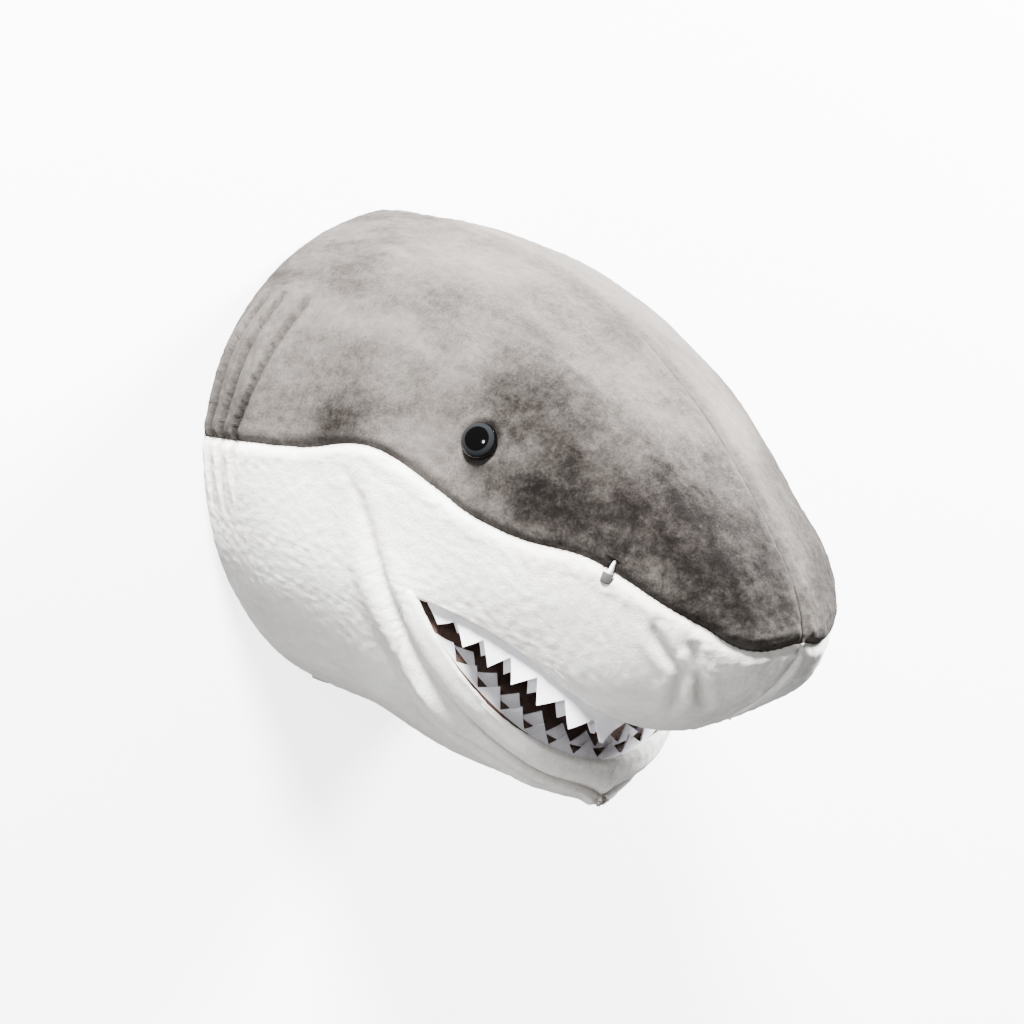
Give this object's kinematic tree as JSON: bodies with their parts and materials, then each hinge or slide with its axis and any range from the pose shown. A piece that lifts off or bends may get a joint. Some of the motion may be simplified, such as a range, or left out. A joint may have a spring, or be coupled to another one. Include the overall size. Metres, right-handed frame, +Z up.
{
  "type": "wall-mounted plush shark head",
  "caption": "Stuffed plush shark head for a wall: grey crown, white sides and throat, open mouth with felt teeth, glossy eyes, flat back with a hanging ring.",
  "frame": {"origin": "middle of the back felt's wall face, on the head's middle plane", "axes": "+Z up, the snout points along -Y away from the wall, +X is the shark's left side; the wall is the plane y = 0"},
  "size_m": [0.309, 0.3583, 0.3582],
  "materials": {
    "grey_plush": "short brushed pile, warm grey",
    "white_plush": "short brushed pile, off-white",
    "mouth_lining": "dark brown short-nap cloth",
    "white_felt": "die-cut white felt",
    "grey_felt": "dark grey felt",
    "fibre_fill": "loose polyester fibre",
    "eye_plastic": "polished moulded dome",
    "washer_plastic": "moulded lock washer",
    "fibreboard": "raw medium density fibreboard",
    "zinc_steel": "zinc plated"
  },
  "bodies": {
    "head": {"crown_panel_left": "grey_plush", "crown_panel_right": "grey_plush", "side_panel_left": "white_plush", "side_panel_right": "white_plush", "lower_lip_band": "white_plush", "mouth_lining_upper": "mouth_lining", "mouth_lining_lower": "mouth_lining", "upper_teeth_outer": "white_felt", "upper_teeth_inner": "white_felt", "lower_teeth_outer": "white_felt", "lower_teeth_inner": "white_felt", "eye_left": "eye_plastic", "eye_right": "eye_plastic", "eye_washer_left": "washer_plastic", "eye_washer_right": "washer_plastic", "nostril_tab_left": "grey_felt", "nostril_tab_right": "grey_felt", "neck_fill": "fibre_fill", "snout_fill": "fibre_fill", "jaw_fill": "fibre_fill", "back_board": "fibreboard", "back_felt": "grey_felt", "hanger_strap": "zinc_steel", "hanger_screw_1": "zinc_steel", "hanger_screw_2": "zinc_steel"},
    "ring": {"hanger_ring": "zinc_steel"}
  },
  "joints": [
    {"name": "ring_swing", "type": "hinge", "parent": "head", "child": "ring", "pos_m": [0, -0.0027, 0.104], "axis": [1, 0, 0], "range_deg": [0, 180]}
  ]
}
